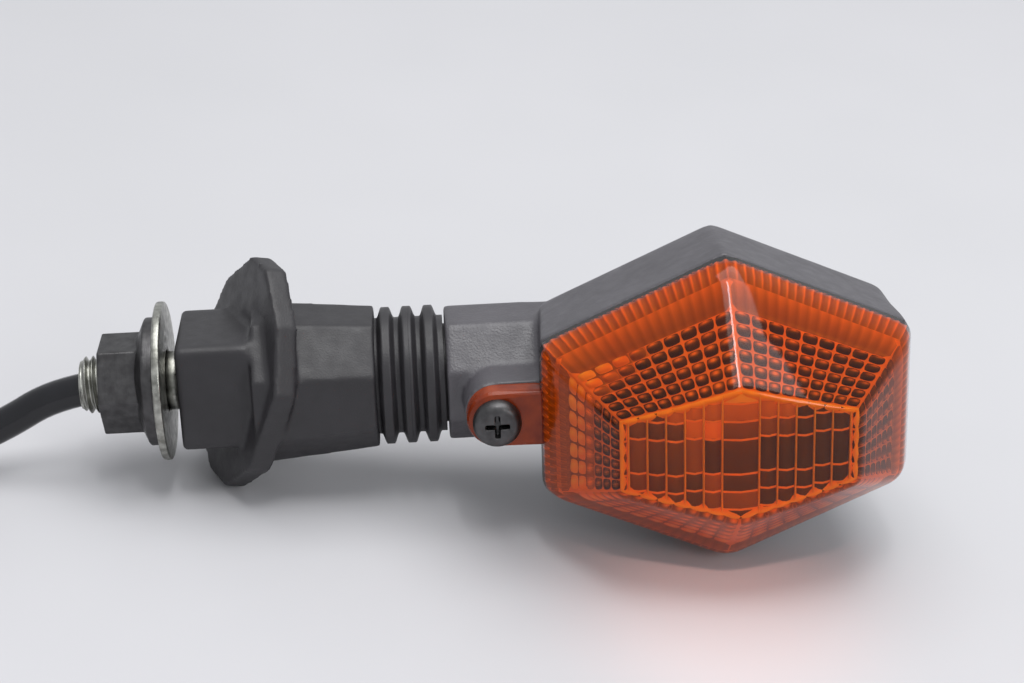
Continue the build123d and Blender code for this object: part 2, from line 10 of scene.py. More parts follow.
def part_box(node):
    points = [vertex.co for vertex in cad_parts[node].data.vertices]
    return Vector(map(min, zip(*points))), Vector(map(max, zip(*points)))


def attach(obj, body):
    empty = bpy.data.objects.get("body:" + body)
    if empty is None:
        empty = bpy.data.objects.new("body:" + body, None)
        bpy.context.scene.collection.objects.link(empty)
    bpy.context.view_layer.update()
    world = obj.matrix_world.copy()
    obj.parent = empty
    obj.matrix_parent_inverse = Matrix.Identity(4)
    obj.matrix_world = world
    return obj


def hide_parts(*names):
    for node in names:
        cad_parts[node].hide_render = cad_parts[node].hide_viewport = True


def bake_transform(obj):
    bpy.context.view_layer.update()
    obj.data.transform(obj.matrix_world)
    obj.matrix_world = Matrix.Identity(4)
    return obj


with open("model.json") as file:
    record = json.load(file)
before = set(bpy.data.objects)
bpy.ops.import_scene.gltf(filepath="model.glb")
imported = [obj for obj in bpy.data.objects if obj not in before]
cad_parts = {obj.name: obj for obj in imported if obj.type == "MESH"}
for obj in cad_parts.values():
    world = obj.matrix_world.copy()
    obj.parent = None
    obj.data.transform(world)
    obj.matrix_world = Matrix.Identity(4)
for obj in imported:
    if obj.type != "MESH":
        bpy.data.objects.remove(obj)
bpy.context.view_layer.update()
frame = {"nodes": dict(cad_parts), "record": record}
nodes = frame["nodes"]
MM = 0.001
scene = bpy.context.scene
scene.view_settings.view_transform = "Standard"


def box_mm(node):
    """The two corners of a CAD node's box, in millimetres."""
    return [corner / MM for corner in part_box(node)]


def clamp(share):
    return min(max(share, 0.0), 1.0)


# ---------------------------------------------------------------- places, in millimetres
lens_low, lens_high = box_mm("lens")
bellows_low, bellows_high = box_mm("bellows")
spring_low, spring_high = box_mm("contact_spring")
screw_low, screw_high = box_mm("lens_screw")
stud_low = box_mm("threaded_stud")[0]

# Six-sided outlines: half the width, half the height at the sides and at the peaks
rim = (30.3, 13.4, 27.0)
face = (19.1, 6.4, 11.6)
lamp_x = lens_high.x - rim[0]
stem_z = (lens_low.z + lens_high.z) / 2

# Distances in front of the stem axis
rim_front = 20.0
band_front = 24.2
face_front = -lens_low.y


def inset(outline, amount):
    """The six-sided outline moved inwards by the same distance on every side."""
    half_width, side, peak = outline
    slope = math.hypot(half_width, peak - side) / half_width
    rise = (peak - side) / half_width
    new_peak = peak - amount * slope
    return (half_width - amount, new_peak - rise * (half_width - amount), new_peak)


# ---------------------------------------------------------------- camera
view_place = Vector((42.2, -351.7, 156.3))
view_forward = Vector((0.0368, 0.9169, -0.3974))
view_up = Vector((0.0524, 0.3954, 0.917))
camera_data = bpy.data.cameras.new("camera")
camera_data.sensor_width = 36.0
camera_data.lens = 79.1
camera_data.clip_start = 0.01
camera = bpy.data.objects.new("camera", camera_data)
scene.collection.objects.link(camera)
forward = view_forward.normalized()
sideways = forward.cross(view_up).normalized()
axes = Matrix((sideways, sideways.cross(forward), -forward)).transposed()
camera.matrix_world = Matrix.Translation(view_place * MM) @ axes.to_4x4()
scene.camera = camera

# ---------------------------------------------------------------- resting surface
surface_slope_x = -0.0934
surface_slope_y = 0.0792


def surface_height(x, y):
    """Height of the resting surface under a point, in millimetres."""
    return lens_low.z + surface_slope_x * (x - lamp_x) + surface_slope_y * (y + rim_front)


# ---------------------------------------------------------------- lead
sheath_radius = 2.8
strand = 2 * sheath_radius + 0.1
lying_height = 3.8
coil_mid = 26.0
inner_turn = coil_mid - strand / 2
outer_turn = coil_mid + strand / 2
lead_points = [
    Vector((-6.0, 0.0, 0.0)),
    Vector((-19.5, 0.0, 0.0)),
    Vector((-33.0, -1.5, -7.4)),
    Vector((-47.0, -5.0, surface_height(-47.0, -5.0) + lying_height)),
    Vector((-60.5, -7.0, surface_height(-60.5, -7.0) + lying_height)),
]
coil_centre = Vector((-66.5, -7.0 - coil_mid + strand / 2, 0.0))
coil_centre.z = surface_height(coil_centre.x, coil_centre.y)
coil_up = Vector((-surface_slope_x, -surface_slope_y, 1.0)).normalized()
coil_x = Vector((1.0, 0.0, surface_slope_x)).normalized()
coil_y = coil_up.cross(coil_x)


def on_coil(x, y, height):
    """A point beside the coil's centre, at a height above the resting surface."""
    return coil_centre + coil_x * x + coil_y * y + coil_up * height


# One turn and a sixth in degrees, growing by a strand and climbing over the lead at some corners
enter_angle = 90.0
leave_angle = 510.0
growth_start = 180.0
growth_span = 270.0
corner_count = 20
corner_angle = (leave_angle - enter_angle) / corner_count
climbing_height = {14: 7.4, 15: 10.4, 16: 10.4, 17: 6.4}
for k in range(corner_count):
    angle = enter_angle + (k + 0.5) * corner_angle
    grown = clamp((angle - growth_start) / growth_span)
    radius = (inner_turn + strand * grown) / math.cos(math.radians(corner_angle / 2))
    turn = math.radians(angle)
    height = climbing_height.get(k, lying_height)
    lead_points.append(on_coil(radius * math.cos(turn), radius * math.sin(turn), height))

# The straight end sinks a little towards its connectors
leave = math.radians(leave_angle)
for along, fall in ((9.0, 0.3), (19.5, 0.68)):
    x = outer_turn * math.cos(leave) - along * math.sin(leave)
    y = outer_turn * math.sin(leave) + along * math.cos(leave)
    lead_points.append(on_coil(x, y, lying_height - fall))

lead_curve = bpy.data.curves.new("lead", "CURVE")
lead_curve.dimensions = "3D"
lead_spline = lead_curve.splines.new("NURBS")
lead_spline.points.add(len(lead_points) - 1)
for point, place in zip(lead_spline.points, lead_points):
    point.co = (*(place * MM), 1.0)
lead_spline.order_u = 3
lead_spline.use_endpoint_u = True
lead_spline.resolution_u = 10
lead_curve.bevel_depth = sheath_radius * MM
lead_curve.bevel_resolution = 6
lead_curve.use_fill_caps = True
lead = bpy.data.objects.new("lead", lead_curve)
scene.collection.objects.link(lead)


# ---------------------------------------------------------------- materials
class Finish:
    """A material being built: the principled shader with noise layers on it."""

    def __init__(self, name, color, roughness, **values):
        """Values are constants for the shader's own sockets; an underscore is a space."""
        self.material = bpy.data.materials.new(name)
        self.material.use_nodes = True
        self.tree = self.material.node_tree
        self.shader = self.tree.nodes["Principled BSDF"]
        self.shader.inputs["Base Color"].default_value = (*color, 1.0)
        self.shader.inputs["Roughness"].default_value = roughness
        for socket, value in values.items():
            self.shader.inputs[socket.replace("_", " ")].default_value = value
        self.place = self.tree.nodes.new("ShaderNodeTexCoord").outputs["Object"]
        self.normal = None

    def node(self, kind, **values):
        """A new node with constants on its sockets; an underscore in a name is a space."""
        node = self.tree.nodes.new(kind)
        for socket, value in values.items():
            node.inputs[socket.replace("_", " ")].default_value = value
        return node

    def link(self, a, b):
        self.tree.links.new(a, b)

    def noise(self, scale, detail=3.0, stretch=None):
        node = self.node("ShaderNodeTexNoise", Scale=scale, Detail=detail)
        place = self.place
        if stretch:
            mapping = self.node("ShaderNodeMapping", Scale=stretch)
            self.link(place, mapping.inputs["Vector"])
            place = mapping.outputs["Vector"]
        self.link(place, node.inputs["Vector"])
        return node.outputs["Fac"]

    def paint(self, source, stops):
        """Base colour from a ramp of (position, colour)."""
        node = self.node("ShaderNodeValToRGB")
        marks = node.color_ramp.elements
        while len(marks) < len(stops):
            marks.new(0.5)
        for mark, (position, color) in zip(marks, stops):
            mark.position = position
            mark.color = (*color, 1.0)
        self.link(source, node.inputs["Fac"])
        self.link(node.outputs["Color"], self.shader.inputs["Base Color"])

    def rough(self, source, low, high):
        node = self.node("ShaderNodeMapRange", From_Min=0.3, From_Max=0.7, To_Min=low, To_Max=high)
        self.link(source, node.inputs["Value"])
        self.link(node.outputs["Result"], self.shader.inputs["Roughness"])

    def bump(self, source, distance, strength=1.0):
        node = self.node("ShaderNodeBump", Distance=distance, Strength=strength)
        self.link(source, node.inputs["Height"])
        if self.normal:
            self.link(self.normal, node.inputs["Normal"])
        self.normal = node.outputs["Normal"]
        self.link(self.normal, self.shader.inputs["Normal"])


def moulded(name, dark, light, grain_scale, grain_depth, rough_low, rough_high, **values):
    """Moulded rubber or plastic: a cloudy colour, a fine grain and uneven gloss."""
    made = Finish(name, light, rough_high, **values)
    made.paint(made.noise(160.0, 5.0), [(0.3, dark), (0.7, light)])
    made.rough(made.noise(420.0, 4.0), rough_low, rough_high)
    made.bump(made.noise(grain_scale, 2.0), grain_depth)
    return made.material


def plated(name, dark, light, rough_low, rough_high, stretch):
    """Plated or oxide-coated steel: tool marks along one way, and patchy wear."""
    made = Finish(name, light, rough_high, Metallic=1.0)
    made.paint(made.noise(500.0, 6.0), [(0.35, dark), (0.65, light)])
    made.rough(made.noise(900.0, 4.0), rough_low, rough_high)
    made.bump(made.noise(700.0, 3.0, stretch), 0.00004, 0.6)
    return made.material


# One finish for each material slot of the record
# Name, dark and light colour, grain's scale and depth, roughness from and to, shader constants
MOULDED = [
    ("boot_rubber", (0.02, 0.0185, 0.021), (0.026, 0.0245, 0.028), 3200.0, 0.00003, 0.4, 0.52, {}),
    (
        "housing_black",
        *((0.062, 0.058, 0.066), (0.08, 0.075, 0.085), 2600.0, 0.00007, 0.36, 0.5),
        {"Specular_IOR_Level": 0.7},
    ),
    ("sheath_black", (0.004, 0.004, 0.006), (0.009, 0.009, 0.012), 300.0, 0.00012, 0.12, 0.24, {}),
    ("tie_black", (0.012, 0.012, 0.012), (0.03, 0.03, 0.03), 1200.0, 0.00005, 0.35, 0.5, {}),
    ("wire_black", (0.01, 0.01, 0.01), (0.02, 0.02, 0.02), 1500.0, 0.00003, 0.3, 0.42, {}),
    ("wire_orange", (0.6, 0.14, 0.01), (0.8, 0.22, 0.02), 1500.0, 0.00003, 0.3, 0.42, {}),
    ("insulator_brown", (0.1, 0.05, 0.02), (0.24, 0.13, 0.06), 1800.0, 0.00006, 0.45, 0.6, {}),
    ("insulator_black", (0.008, 0.008, 0.009), (0.02, 0.02, 0.02), 400.0, 0.00002, 0.12, 0.2, {}),
    (
        "sleeve_clear",
        *((0.62, 0.6, 0.52), (0.8, 0.78, 0.7), 700.0, 0.00004, 0.2, 0.34),
        {"Transmission_Weight": 0.7},
    ),
    (
        "bulb_clear",
        *((0.93, 0.95, 0.96), (0.99, 1.0, 1.0), 90.0, 0.00002, 0.0, 0.03),
        {"Transmission_Weight": 1.0, "IOR": 1.47},
    ),
]
# Name, dark and light colour, roughness from and to, stretch of the tool marks
PLATED = [
    ("zinc_steel", (0.2, 0.2, 0.18), (0.5, 0.5, 0.46), 0.26, 0.46, (1.0, 6.0, 6.0)),
    ("dark_steel", (0.07, 0.068, 0.07), (0.11, 0.108, 0.11), 0.36, 0.5, (4.0, 1.0, 1.0)),
    ("contact_brass", (0.5, 0.36, 0.14), (0.78, 0.58, 0.27), 0.25, 0.4, (1.0, 5.0, 1.0)),
    ("solder_grey", (0.4, 0.4, 0.4), (0.6, 0.6, 0.6), 0.3, 0.5, (1.0, 1.0, 1.0)),
    ("reflector_chrome", (0.62, 0.62, 0.62), (0.86, 0.86, 0.85), 0.05, 0.16, (1.0, 1.0, 1.0)),
]
finish = {name: moulded(name, *numbers, **values) for name, *numbers, values in MOULDED}
finish.update({name: plated(name, *numbers) for name, *numbers in PLATED})

amber = Finish("lens_amber", (1.0, 0.26, 0.015), 0.05, Transmission_Weight=1.0, IOR=1.35)
amber.paint(amber.noise(120.0, 3.0), [(0.3, (1.0, 0.24, 0.012)), (0.7, (1.0, 0.29, 0.02))])
amber.rough(amber.noise(260.0, 4.0), 0.02, 0.06)
amber.bump(amber.noise(90.0, 2.0), 0.00006, 0.5)
finish["lens_amber"] = amber.material

# The tab is the lens's amber plastic in a darker, mostly opaque copy: painted shade for how dark
# the tab looks over the black collar
tab = Finish(
    "shaded_tab_amber", (0.3, 0.03, 0.004), 0.2, Transmission_Weight=0.2, Specular_IOR_Level=0.3
)
tab.paint(tab.noise(260.0, 3.0), [(0.3, (0.2, 0.022, 0.003)), (0.7, (0.36, 0.05, 0.005))])
tab.rough(tab.noise(300.0, 3.0), 0.14, 0.26)
tab.bump(tab.noise(300.0, 2.0), 0.00004, 0.5)

# The optic layer's colour comes from painted light and shade stored on its mesh's corners, from
# dark brown shade to yellow glow, standing in for light through the clear optics
optic = Finish("lens_optics", (0.5, 0.1, 0.01), 0.18, Specular_IOR_Level=0.2)
painted_light = optic.node("ShaderNodeAttribute")
painted_light.attribute_name = "painted_light"
optic.paint(
    painted_light.outputs["Fac"],
    [
        (0.0, (0.03, 0.022, 0.015)),
        (0.25, (0.12, 0.07, 0.03)),
        (0.5, (0.42, 0.2, 0.06)),
        (0.75, (1.0, 0.42, 0.1)),
        (1.0, (1.0, 0.95, 0.4)),
    ],
)
optic.bump(optic.noise(1500.0, 2.0), 0.00002, 0.5)

for subpart in frame["record"]["subparts"]:
    data = nodes[subpart["node"]].data
    data.materials.clear()
    data.materials.append(finish[subpart["material_slot"]])


# ---------------------------------------------------------------- mesh helpers
def new_piece(name, vertices, faces, body, slot, replaced=(), material=None, smooth=True):
    """A mesh piece from points in millimetres, riding on its body when it is given one."""
    mesh = bpy.data.meshes.new(name)
    mesh.from_pydata([Vector(vertex) * MM for vertex in vertices], [], faces)
    mesh.validate()
    work = bmesh.new()
    work.from_mesh(mesh)
    bmesh.ops.recalc_face_normals(work, faces=work.faces)
    work.to_mesh(mesh)
    work.free()
    mesh.materials.append(material or finish[slot])
    mesh.polygons.foreach_set("use_smooth", [smooth] * len(mesh.polygons))
    piece = bpy.data.objects.new(name, mesh)
    scene.collection.objects.link(piece)
    if body:
        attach(piece, body)
    if replaced:
        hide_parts(*replaced)
    return piece


def skin(rings, cap_start=False, cap_end=False):
    """Vertices and faces of the surface through closed rings of equal length."""
    count = len(rings[0])
    vertices = [point for ring in rings for point in ring]
    faces = []
    for row in range(len(rings) - 1):
        low = row * count
        high = low + count
        for k in range(count):
            following = (k + 1) % count
            faces.append((low + k, low + following, high + following, high + k))
    if cap_start:
        faces.append(tuple(range(count))[::-1])
    if cap_end:
        faces.append(tuple((len(rings) - 1) * count + k for k in range(count)))
    return vertices, faces


def loop(middle, across, beside, radii):
    """A ring of points round a middle, each at its own radius."""
    ring = []
    for k, radius in enumerate(radii):
        turn = 2 * math.pi * k / len(radii)
        outward = across * (radius * math.cos(turn)) + beside * (radius * math.sin(turn))
        ring.append(middle + outward)
    return ring


def baked(piece):
    """The piece with its modifiers turned into plain geometry."""
    graph = bpy.context.evaluated_depsgraph_get()
    settled = bpy.data.meshes.new_from_object(piece.evaluated_get(graph))
    piece.modifiers.clear()
    piece.data = settled


def softened(name, node, voxel, rounds, body, slot, weight=None):
    """A copy of a CAD solid with its edges and inner corners rounded as a moulding's are.

    With a weight, the whole solid gets a light rounding and the weighted places all the rounds."""
    light_rounds = 5
    piece = bpy.data.objects.new(name, nodes[node].data.copy())
    scene.collection.objects.link(piece)
    remesh = piece.modifiers.new("remesh", "REMESH")
    remesh.mode = "VOXEL"
    remesh.voxel_size = voxel * MM
    baked(piece)
    relax = piece.modifiers.new("relax", "SMOOTH")
    relax.factor = 0.5
    relax.iterations = light_rounds if weight else rounds
    if weight:
        group = piece.vertex_groups.new(name="soft")
        for vertex in piece.data.vertices:
            group.add([vertex.index], weight(vertex.co / MM), "REPLACE")
        wide = piece.modifiers.new("wide", "SMOOTH")
        wide.factor = 0.5
        wide.iterations = rounds
        wide.vertex_group = "soft"
    baked(piece)
    piece.data.materials.clear()
    piece.data.materials.append(finish[slot])
    piece.data.polygons.foreach_set("use_smooth", [True] * len(piece.data.polygons))
    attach(piece, body)
    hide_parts(node)


# ---------------------------------------------------------------- boot, housing and fasteners
def boot_softness(place):
    """The flange and the roots round it are softer than the boss and the stem's facets."""
    flange_from = 0.8
    flange_to = 22.0
    return 1.0 if flange_from < place.x < flange_to else 0.0


def housing_softness(place):
    """The bowl is rounder than the collar, and its rim stays as it is."""
    below_rim = clamp((place.y + 15.0) / 4.0)
    past_collar = clamp((place.x - 58.0) / 5.0)
    return below_rim * past_collar


softened("boot", "rubber_boot", 0.45, 3, "mount", "boot_rubber", boot_softness)
softened("lamp_housing", "housing", 0.5, 34, "lamp", "housing_black", housing_softness)
softened("tab_screw", "lens_screw", 0.14, 4, "screw", "dark_steel")
softened("nut", "flange_nut", 0.2, 5, "nut", "dark_steel")
softened("washer", "flat_washer", 0.2, 3, "washer", "zinc_steel")

# ---------------------------------------------------------------- bellows
# Two halves, split at the middle of the bellows; neither rides on a body
bellows_middle = (bellows_low.x + bellows_high.x) / 2
bellows_inside = 7.0
groove_radius = 9.9
ridge_height = 1.8
ridge_half = 1.5
ridge_flank = 0.9
ridge_first = 34.9
ridge_pitch = 3.65
bellows_rows = 36
bellows_segments = 72


def bellows_radius(x):
    """Outer radius of the bellows: rounded ridges with flat-bottomed grooves between them."""
    nearest = min(abs(x - ridge_first - ridge_pitch * k) for k in range(3))
    rise = clamp((ridge_half - nearest) / ridge_flank)
    return groove_radius + ridge_height * rise * rise * (3 - 2 * rise)


stem_axis = Vector((1, 0, 0))
stem_across = stem_axis.orthogonal().normalized()
stem_beside = stem_axis.cross(stem_across)
for name, start, end, bodies in (
    ("bellows_inner", bellows_low.x, bellows_middle, ("mount", "flex")),
    ("bellows_outer", bellows_middle, bellows_high.x, ("flex", "lamp")),
):
    stations = [start + (end - start) * k / bellows_rows for k in range(bellows_rows + 1)]
    profile = [(x, bellows_radius(x)) for x in stations]
    profile += [(x, bellows_inside) for x in reversed(stations)]
    rings = [
        loop(Vector((x, 0, stem_z)), stem_across, stem_beside, [radius] * bellows_segments)
        for x, radius in profile + profile[:1]
    ]
    half = new_piece(name, *skin(rings), None, "boot_rubber", ["bellows"])
    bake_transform(half)

# ---------------------------------------------------------------- threaded stud
# A helical thread, an undercut, a plain shank and the hole through it
thread_pitch = 1.25
thread_depth = 0.77
major = 4.95
thread_end = -3.5
flank_share = 0.78
runout = 0.9
thread_rows = 150
stud_segments = 56
bore = 3.05


def thread_radius(x, share):
    """Radius of the thread's surface at a station and a share of a turn."""
    phase = ((x - stud_low.x) / thread_pitch - share) % 1.0
    flank = min(abs(phase - 0.5) * 2.0 / flank_share, 1.0)
    fade = clamp((thread_end - x) / runout)
    chamfer = major - max(0.0, 1.0 - (x - stud_low.x))
    crest = major - thread_depth * flank * fade
    return min(crest, max(chamfer, major - thread_depth - 0.1))


def stud_ring(x, radii):
    return loop(Vector((x, 0.0, 0.0)), Vector((0.0, 1.0, 0.0)), Vector((0.0, 0.0, 1.0)), radii)


rings = []
for row in range(thread_rows + 1):
    x = stud_low.x + (thread_end - stud_low.x) * row / thread_rows
    rings.append(stud_ring(x, [thread_radius(x, k / stud_segments) for k in range(stud_segments)]))
undercut = [(-3.45, 4.5), (-2.5, 4.5), (-2.3, 4.9), (-2.2, 5.0)]
shank = [(0.5, 5.0), (0.5, 4.6), (12.0, 4.6), (12.0, bore)]
mouth = [(stud_low.x + 0.3, bore), (stud_low.x, bore + 0.2)]
for x, radius in undercut + shank + mouth:
    rings.append(stud_ring(x, [radius] * stud_segments))
rings.append(rings[0])
new_piece("stud", *skin(rings), "mount", "zinc_steel", ["threaded_stud"])

# ---------------------------------------------------------------- contact spring
# A coil of three turns, drawn open and riding on no body; the real one closes up when the bulb is
# pushed in
spring_mid = (spring_low + spring_high) / 2
spring_wire = 0.28
spring_turns = 3
spring_steps = 36 * spring_turns
spring_radius = (spring_high.x - spring_low.x) / 2 - spring_wire
spring_travel = spring_high.y - spring_low.y - 2 * spring_wire
rings = []
for k in range(spring_steps + 1):
    turn = 2 * math.pi * spring_turns * k / spring_steps
    outward = Vector((math.cos(turn), 0.0, math.sin(turn)))
    middle = spring_mid + outward * spring_radius
    middle.y = spring_high.y - spring_wire - spring_travel * k / spring_steps
    rings.append(loop(middle, outward, Vector((0.0, 1.0, 0.0)), [spring_wire] * 10))
wound = skin(rings, cap_start=True, cap_end=True)
coil = new_piece("spring_coil", *wound, None, "zinc_steel", ["contact_spring"])
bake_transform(coil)

# ---------------------------------------------------------------- lens skin
CROWN = 1.8
LENS_WALL = 2.05
GASKET_GAP = 0.03
RIM_ROUND = 2.6
FACE_ROUND = 1.8
CORNER_STEPS = 6
SIDE_STEPS = 8


def hexagon(outline):
    """Corners from the top, anticlockwise as seen from the front."""
    half_width, side, peak = outline
    return [
        Vector((0.0, peak)),
        Vector((-half_width, side)),
        Vector((-half_width, -side)),
        Vector((0.0, -peak)),
        Vector((half_width, -side)),
        Vector((half_width, side)),
    ]


def band_outline(depth):
    """Where the rim's band meets the side facets, a depth inside the lens's outer surface."""
    return inset(rim, 1.3 + depth)


def face_outline(depth):
    """The front face's outline, a depth inside the lens's outer surface."""
    return inset(face, 0.45 * depth)


def band_depth(depth):
    return band_front - 0.4 * depth


def face_depth(u, back=0.0):
    """How far in front of the stem axis the slightly crowned front face is."""
    return face_front - back - CROWN * (u / face[0]) ** 2


def lamp_point(u, front, w):
    """A point from its place on the lamp: sideways, in front of the stem axis, and up."""
    return Vector((lamp_x + u, -front, stem_z + w))


def along_side(outline, corner, share):
    """A point on the side that follows a corner of the outline."""
    corners = hexagon(outline)
    return corners[corner].lerp(corners[(corner + 1) % 6], share)


def bend(a, b, c, t):
    """A point on the curve from a to c that turns towards b."""
    return a * (1 - t) ** 2 + b * (2 * t * (1 - t)) + c * t**2


def rounded_ring(outline, front, radius, crowned=False):
    """A six-sided outline with round corners, as points on the lamp."""
    corners = hexagon(outline)
    ring = []
    for k, corner in enumerate(corners):
        before = (corners[k - 1] - corner).normalized()
        after = (corners[(k + 1) % 6] - corner).normalized()
        entry = corner + before * radius
        leave = corner + after * radius
        for step in range(CORNER_STEPS + 1):
            ring.append(bend(entry, corner, leave, step / CORNER_STEPS))
        following = corners[(k + 1) % 6] - after * radius
        for step in range(1, SIDE_STEPS):
            ring.append(leave.lerp(following, step / SIDE_STEPS))
    back = face_front - front
    return [lamp_point(p.x, face_depth(p.x, back) if crowned else front, p.y) for p in ring]


def mix(ring_a, ring_b, t):
    return [a.lerp(b, t) for a, b in zip(ring_a, ring_b)]


def rounded_edge(ring_a, ring_b, ring_c, steps):
    """Rings that turn smoothly from the surface a-b to the surface b-c."""
    return [
        [bend(a, b, c, step / steps) for a, b, c in zip(ring_a, ring_b, ring_c)]
        for step in range(steps + 1)
    ]


def shell_rings(depth):
    """Rings of the lens's skin, a depth inside its outer surface, from the rim to the centre."""
    low = rounded_ring(inset(rim, depth), rim_front + GASKET_GAP, RIM_ROUND)
    edge = rounded_ring(band_outline(depth), band_depth(depth), RIM_ROUND)
    high = rounded_ring(face_outline(depth), face_front - depth, FACE_ROUND, True)
    rings = [low, mix(low, edge, 0.4)]
    rings += rounded_edge(mix(low, edge, 0.7), edge, mix(edge, high, 0.07), 5)
    rings += [mix(edge, high, t) for t in (0.25, 0.5, 0.75)]
    centre = [lamp_point(0.0, face_front - depth, 0.0)] * len(high)
    inner = []
    for share in (0.94, 0.8, 0.6, 0.4, 0.2, 0.05):
        ring = mix(high, centre, 1 - share)
        inner.append([Vector((p.x, -face_depth(p.x - lamp_x, depth), p.z)) for p in ring])
    rings += rounded_edge(mix(edge, high, 0.94), high, inner[0], 6)
    return rings + inner[1:]


outer_rings = shell_rings(0.0)
vertices, faces = skin(outer_rings, cap_end=True)
inner_vertices, inner_faces = skin(shell_rings(LENS_WALL), cap_end=True)
shift = len(vertices)
ring_size = len(outer_rings[0])
faces += [tuple(index + shift for index in reversed(polygon)) for polygon in inner_faces]
for k in range(ring_size):
    following = (k + 1) % ring_size
    faces.append((k, shift + k, shift + following, following))
new_piece("lens_skin", vertices + inner_vertices, faces, "lens", "lens_amber", ["lens"])

# ---------------------------------------------------------------- tab that the screw holds down
tab_centre = Vector(((screw_low.x + screw_high.x) / 2, 0.0))
tab_radius = 4.9
tab_hole = 2.2
tab_root = 60.9
tab_back = 17.0
tab_edge = 20.3
tab_top = 20.6
arc_steps = 24
edge_points = []
for k in range(arc_steps + 1):
    turn = math.radians(90 + 180 * k / arc_steps)
    edge_points.append(tab_centre + Vector((math.cos(turn), math.sin(turn))) * tab_radius)
edge_points += [Vector((tab_root, -tab_radius)), Vector((tab_root, tab_radius))]
hole_points = [tab_centre + (p - tab_centre).normalized() * tab_hole for p in edge_points]


def tab_ring(points, front, shrink):
    """The tab's outline or hole at a height, drawn in from the outline by a little."""
    ring = []
    for p in points:
        away = p - tab_centre
        moved = tab_centre + away * ((away.length - shrink) / away.length)
        ring.append(Vector((moved.x, -front, stem_z + moved.y)))
    return ring


tab_rings = [
    tab_ring(hole_points, tab_back, 0.0),
    tab_ring(hole_points, tab_edge, 0.0),
    tab_ring(hole_points, tab_top, -0.3),
    tab_ring(edge_points, tab_top, 1.0),
    tab_ring(edge_points, tab_edge, 0.3),
    tab_ring(edge_points, tab_edge - 0.7, 0.0),
    tab_ring(edge_points, tab_back, 0.0),
    tab_ring(hole_points, tab_back, 0.0),
]
new_piece(
    "lens_tab", *skin(tab_rings), "lens", "lens_amber", material=tab.material, smooth=False
)

# ---------------------------------------------------------------- optics inside the lens's wall, an opaque layer coloured with painted light and shade
# Side facets are numbered from the upper left one, anticlockwise as seen from the front
UPPER = (0, 5)
UPRIGHT = (1, 4)
LOWER = (2, 3)
DEEP = 1.9
SHALLOW = 1.15
BEAD_STEPS = 6
BEAD_ROWS = 6
BEAD_END = 0.985
random.seed(7)


class Optics:
    """Collects patches of the optic layer and the painted light and shade at each of their
    corners.
    """

    def __init__(self):
        self.vertices = []
        self.faces = []
        self.painted_tones = []

    def patch(self, grid, painted_light_at):
        """A grid of points, with a function of the square's row and column and the corner's row
        and column that gives its painted light and shade.
        """
        first = len(self.vertices)
        wide = len(grid[0])
        for row in grid:
            self.vertices += row
        for r in range(len(grid) - 1):
            for c in range(wide - 1):
                corners = [(r, c), (r, c + 1), (r + 1, c + 1), (r + 1, c)]
                self.faces.append(tuple(first + rr * wide + cc for rr, cc in corners))
                self.painted_tones += [painted_light_at(r, c, rr, cc) for rr, cc in corners]


optics = Optics()


def facet_point(corner, s, t, depth):
    """A point behind a side facet: s runs along it, t from the band to the front face."""
    low = along_side(band_outline(depth), corner, s)
    high = along_side(face_outline(depth), corner, s)
    place = low.lerp(high, t)
    front = band_depth(depth) * (1 - t) + face_depth(high.x, depth) * t
    return lamp_point(place.x, front, place.y)


def bead_start(corner):
    """Where the beads of a side facet begin, from the band."""
    return 0.2 if corner in UPRIGHT else 0.26


def pillow(corner, s0, s1, t0, t1, dark, painted_frame_glow, painted_glint_strength):
    """One bead of a side facet: a rounded pillow with a painted glowing frame, in painted shade
    that is darkest at its top, with a painted glint.
    """
    marks = [-1.0] + [-1.0 + 2.0 * k / BEAD_STEPS for k in range(BEAD_STEPS + 1)] + [1.0]
    last = len(marks) - 1
    swell = 0.28
    reach_s = (s1 - s0) / 2 - 0.05 * (s1 - s0)
    reach_t = (t1 - t0) / 2 - 0.005
    grid = []
    for i, q in enumerate(marks):
        row = []
        for j, p in enumerate(marks):
            if i in (0, last) or j in (0, last):
                s = s0 + (s1 - s0) * (p + 1) / 2
                t = t0 + (t1 - t0) * (q + 1) / 2
                depth = DEEP
            else:
                s = (s0 + s1) / 2 + p * math.sqrt(1 - swell * q * q) * reach_s
                t = (t0 + t1) / 2 + q * math.sqrt(1 - swell * p * p) * reach_t
                depth = DEEP - (DEEP - SHALLOW) * ((1 - p * p) * (1 - q * q)) ** 0.5
            row.append(facet_point(corner, s, t, depth))
        grid.append(row)
    downward = 1.0 if corner in UPPER else -1.0

    # Painted light: the frame glows, the bead is in painted shade, and a painted glint lies across
    # it
    def painted_light_at(r, c, rr, cc):
        if r in (0, last - 1) or c in (0, last - 1):
            return painted_frame_glow
        along, beyond = (marks[rr], marks[cc]) if corner in UPRIGHT else (marks[cc], -marks[rr])
        off = beyond * downward - 0.5
        painted_glint = math.exp(-(off**2) / (0.1 + 0.14 * painted_glint_strength) - (along - 0.1) ** 2 / 0.5)
        return dark + (1.0 - dark) * painted_glint * (0.7 + 0.3 * painted_glint_strength)

    optics.patch(grid, painted_light_at)


